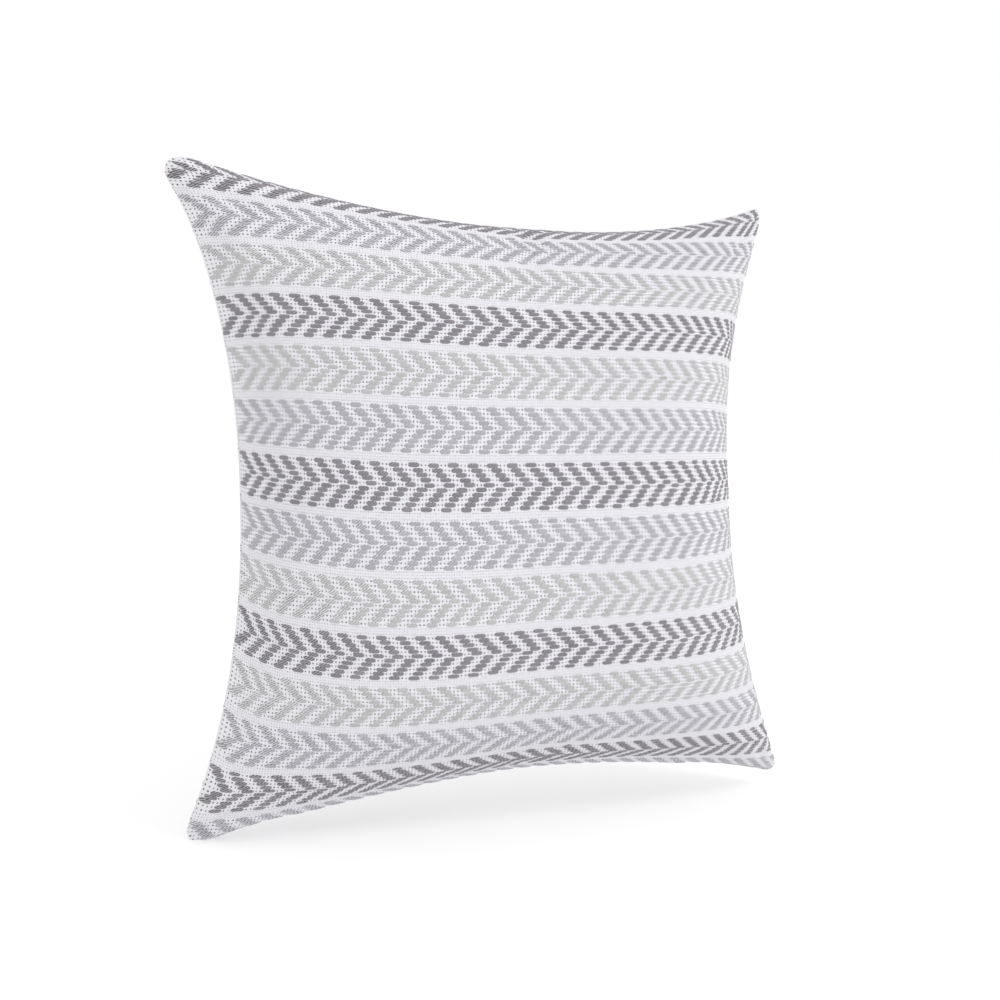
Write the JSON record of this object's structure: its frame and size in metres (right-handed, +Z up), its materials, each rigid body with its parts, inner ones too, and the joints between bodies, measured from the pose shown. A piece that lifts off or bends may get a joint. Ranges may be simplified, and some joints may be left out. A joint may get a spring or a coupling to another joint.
{
  "type": "throw pillow",
  "caption": "Square knife-edge throw pillow with a woven striped cover, a lapped zip in its bottom seam and a fibre-filled insert.",
  "frame": {"origin": "below the middle of the pillow, at the level of its two lower ear tips, which it stands on", "axes": "+Z up along the height, +X along the width to the right as seen from the front, and the front face looks along -Y, so +Y is through the thickness to the back"},
  "size_m": [0.454, 0.15, 0.444],
  "materials": {
    "cover_cloth": "matt woven cotton with grey weft floats in bands",
    "sewing_thread": "matt spun polyester",
    "zip_tape": "fine woven tape",
    "zip_coil": "satin nylon",
    "zip_metal": "satin grey enamel",
    "label_tape": "satin tape",
    "insert_cloth": "plain cotton",
    "fibre": "soft hollow fibre"
  },
  "bodies": {
    "pillow": {"cover_front": "cover_cloth", "cover_back": "cover_cloth", "seam_needle_thread": "sewing_thread", "seam_bobbin_thread": "sewing_thread", "overlock_thread_back": "sewing_thread", "overlock_thread_front": "sewing_thread", "zip_tape_front": "zip_tape", "zip_tape_back": "zip_tape", "zip_coil_front": "zip_coil", "zip_coil_back": "zip_coil", "zip_top_stop": "zip_metal", "zip_bottom_stop": "zip_metal", "zip_stitching_front": "sewing_thread", "zip_stitching_back": "sewing_thread", "care_label": "label_tape", "insert_front": "insert_cloth", "insert_back": "insert_cloth", "insert_needle_thread": "sewing_thread", "insert_bobbin_thread": "sewing_thread", "insert_closing_stitch": "sewing_thread", "insert_label": "label_tape", "fibre_fill": "fibre"},
    "zip_slider": {"zip_slider_body": "zip_metal"},
    "zip_pull": {"zip_pull_tab": "zip_metal"}
  },
  "joints": [
    {"name": "zip_slide", "type": "slide", "parent": "pillow", "child": "zip_slider", "axis": [1, 0, 0], "range_m": [-0.266, 0], "deforming": ["zip_coil_front", "zip_coil_back"]},
    {"name": "pull_swing", "type": "hinge", "parent": "zip_slider", "child": "zip_pull", "pos_m": [0.133, 0.0025, 0.029], "axis": [0, 1, 0], "range_deg": [-180, 0]}
  ]
}
